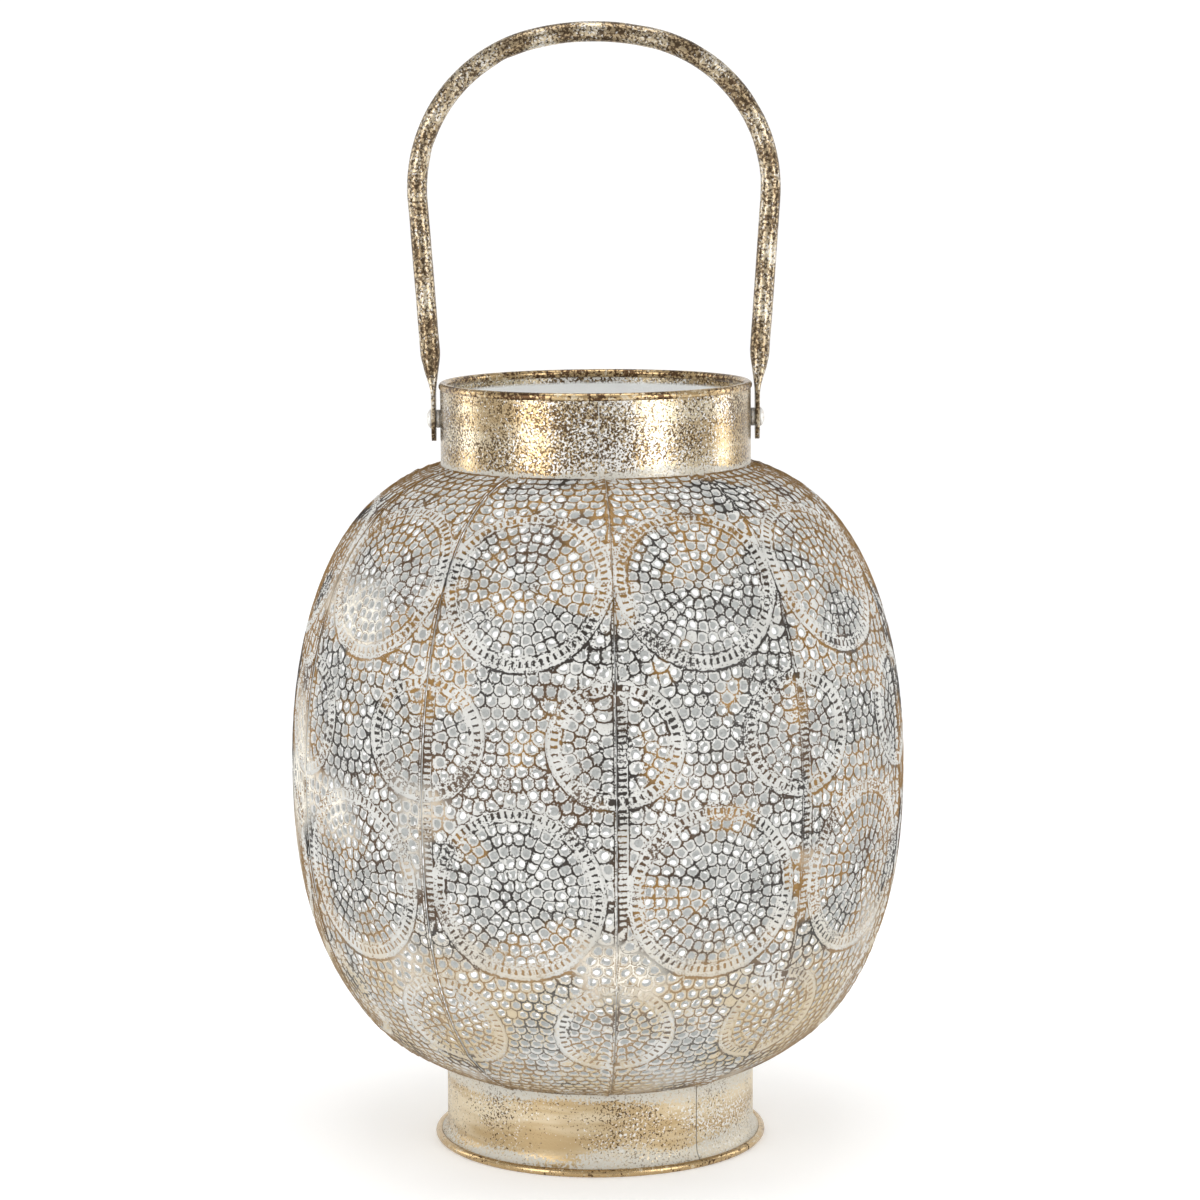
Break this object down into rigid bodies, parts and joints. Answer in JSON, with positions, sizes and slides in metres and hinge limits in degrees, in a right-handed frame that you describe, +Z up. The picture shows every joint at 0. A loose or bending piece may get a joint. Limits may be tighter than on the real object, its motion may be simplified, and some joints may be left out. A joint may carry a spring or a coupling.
{
  "type": "moroccan metal lantern",
  "caption": "Round pierced-metal candle lantern with an open neck, a flared foot and a bail handle that swings on rivets.",
  "frame": {"origin": "centre of the foot ring's flat underside, on the ground", "axes": "+Z up, +X along the handle's pivot, -Y towards the front"},
  "size_m": [0.2308, 0.2308, 0.4213],
  "materials": {
    "pierced_shell": "whitewash over antique gold on embossed, pierced sheet; gold and brown show on the raised lines",
    "gilt_band": "worn gold leaf with fine white and brown flecks",
    "gilt_wire": "polished antique gold with brown speckle",
    "gilt_bail": "antique gold over dark brown with silvery flecks",
    "rivet_metal": "silvery white, satin",
    "inner_white": "matt off-white paint"
  },
  "bodies": {
    "lantern": {"shell_panel_01": "pierced_shell", "shell_panel_02": "pierced_shell", "shell_panel_03": "pierced_shell", "shell_panel_04": "pierced_shell", "shell_panel_05": "pierced_shell", "shell_panel_06": "pierced_shell", "shell_panel_07": "pierced_shell", "shell_panel_08": "pierced_shell", "shell_panel_09": "pierced_shell", "shell_panel_10": "pierced_shell", "neck_band": "gilt_band", "neck_rim": "gilt_wire", "foot_band": "gilt_band", "foot_ring": "gilt_wire", "floor_plate": "inner_white", "rivet_left": "rivet_metal", "rivet_right": "rivet_metal", "spacer_left": "rivet_metal", "spacer_right": "rivet_metal"},
    "bail": {"handle": "gilt_bail"}
  },
  "joints": [
    {"name": "handle_swing", "type": "hinge", "parent": "lantern", "child": "bail", "pos_m": [0, 0, 0.27475], "axis": [1, 0, 0], "range_deg": [-112, 112]}
  ]
}
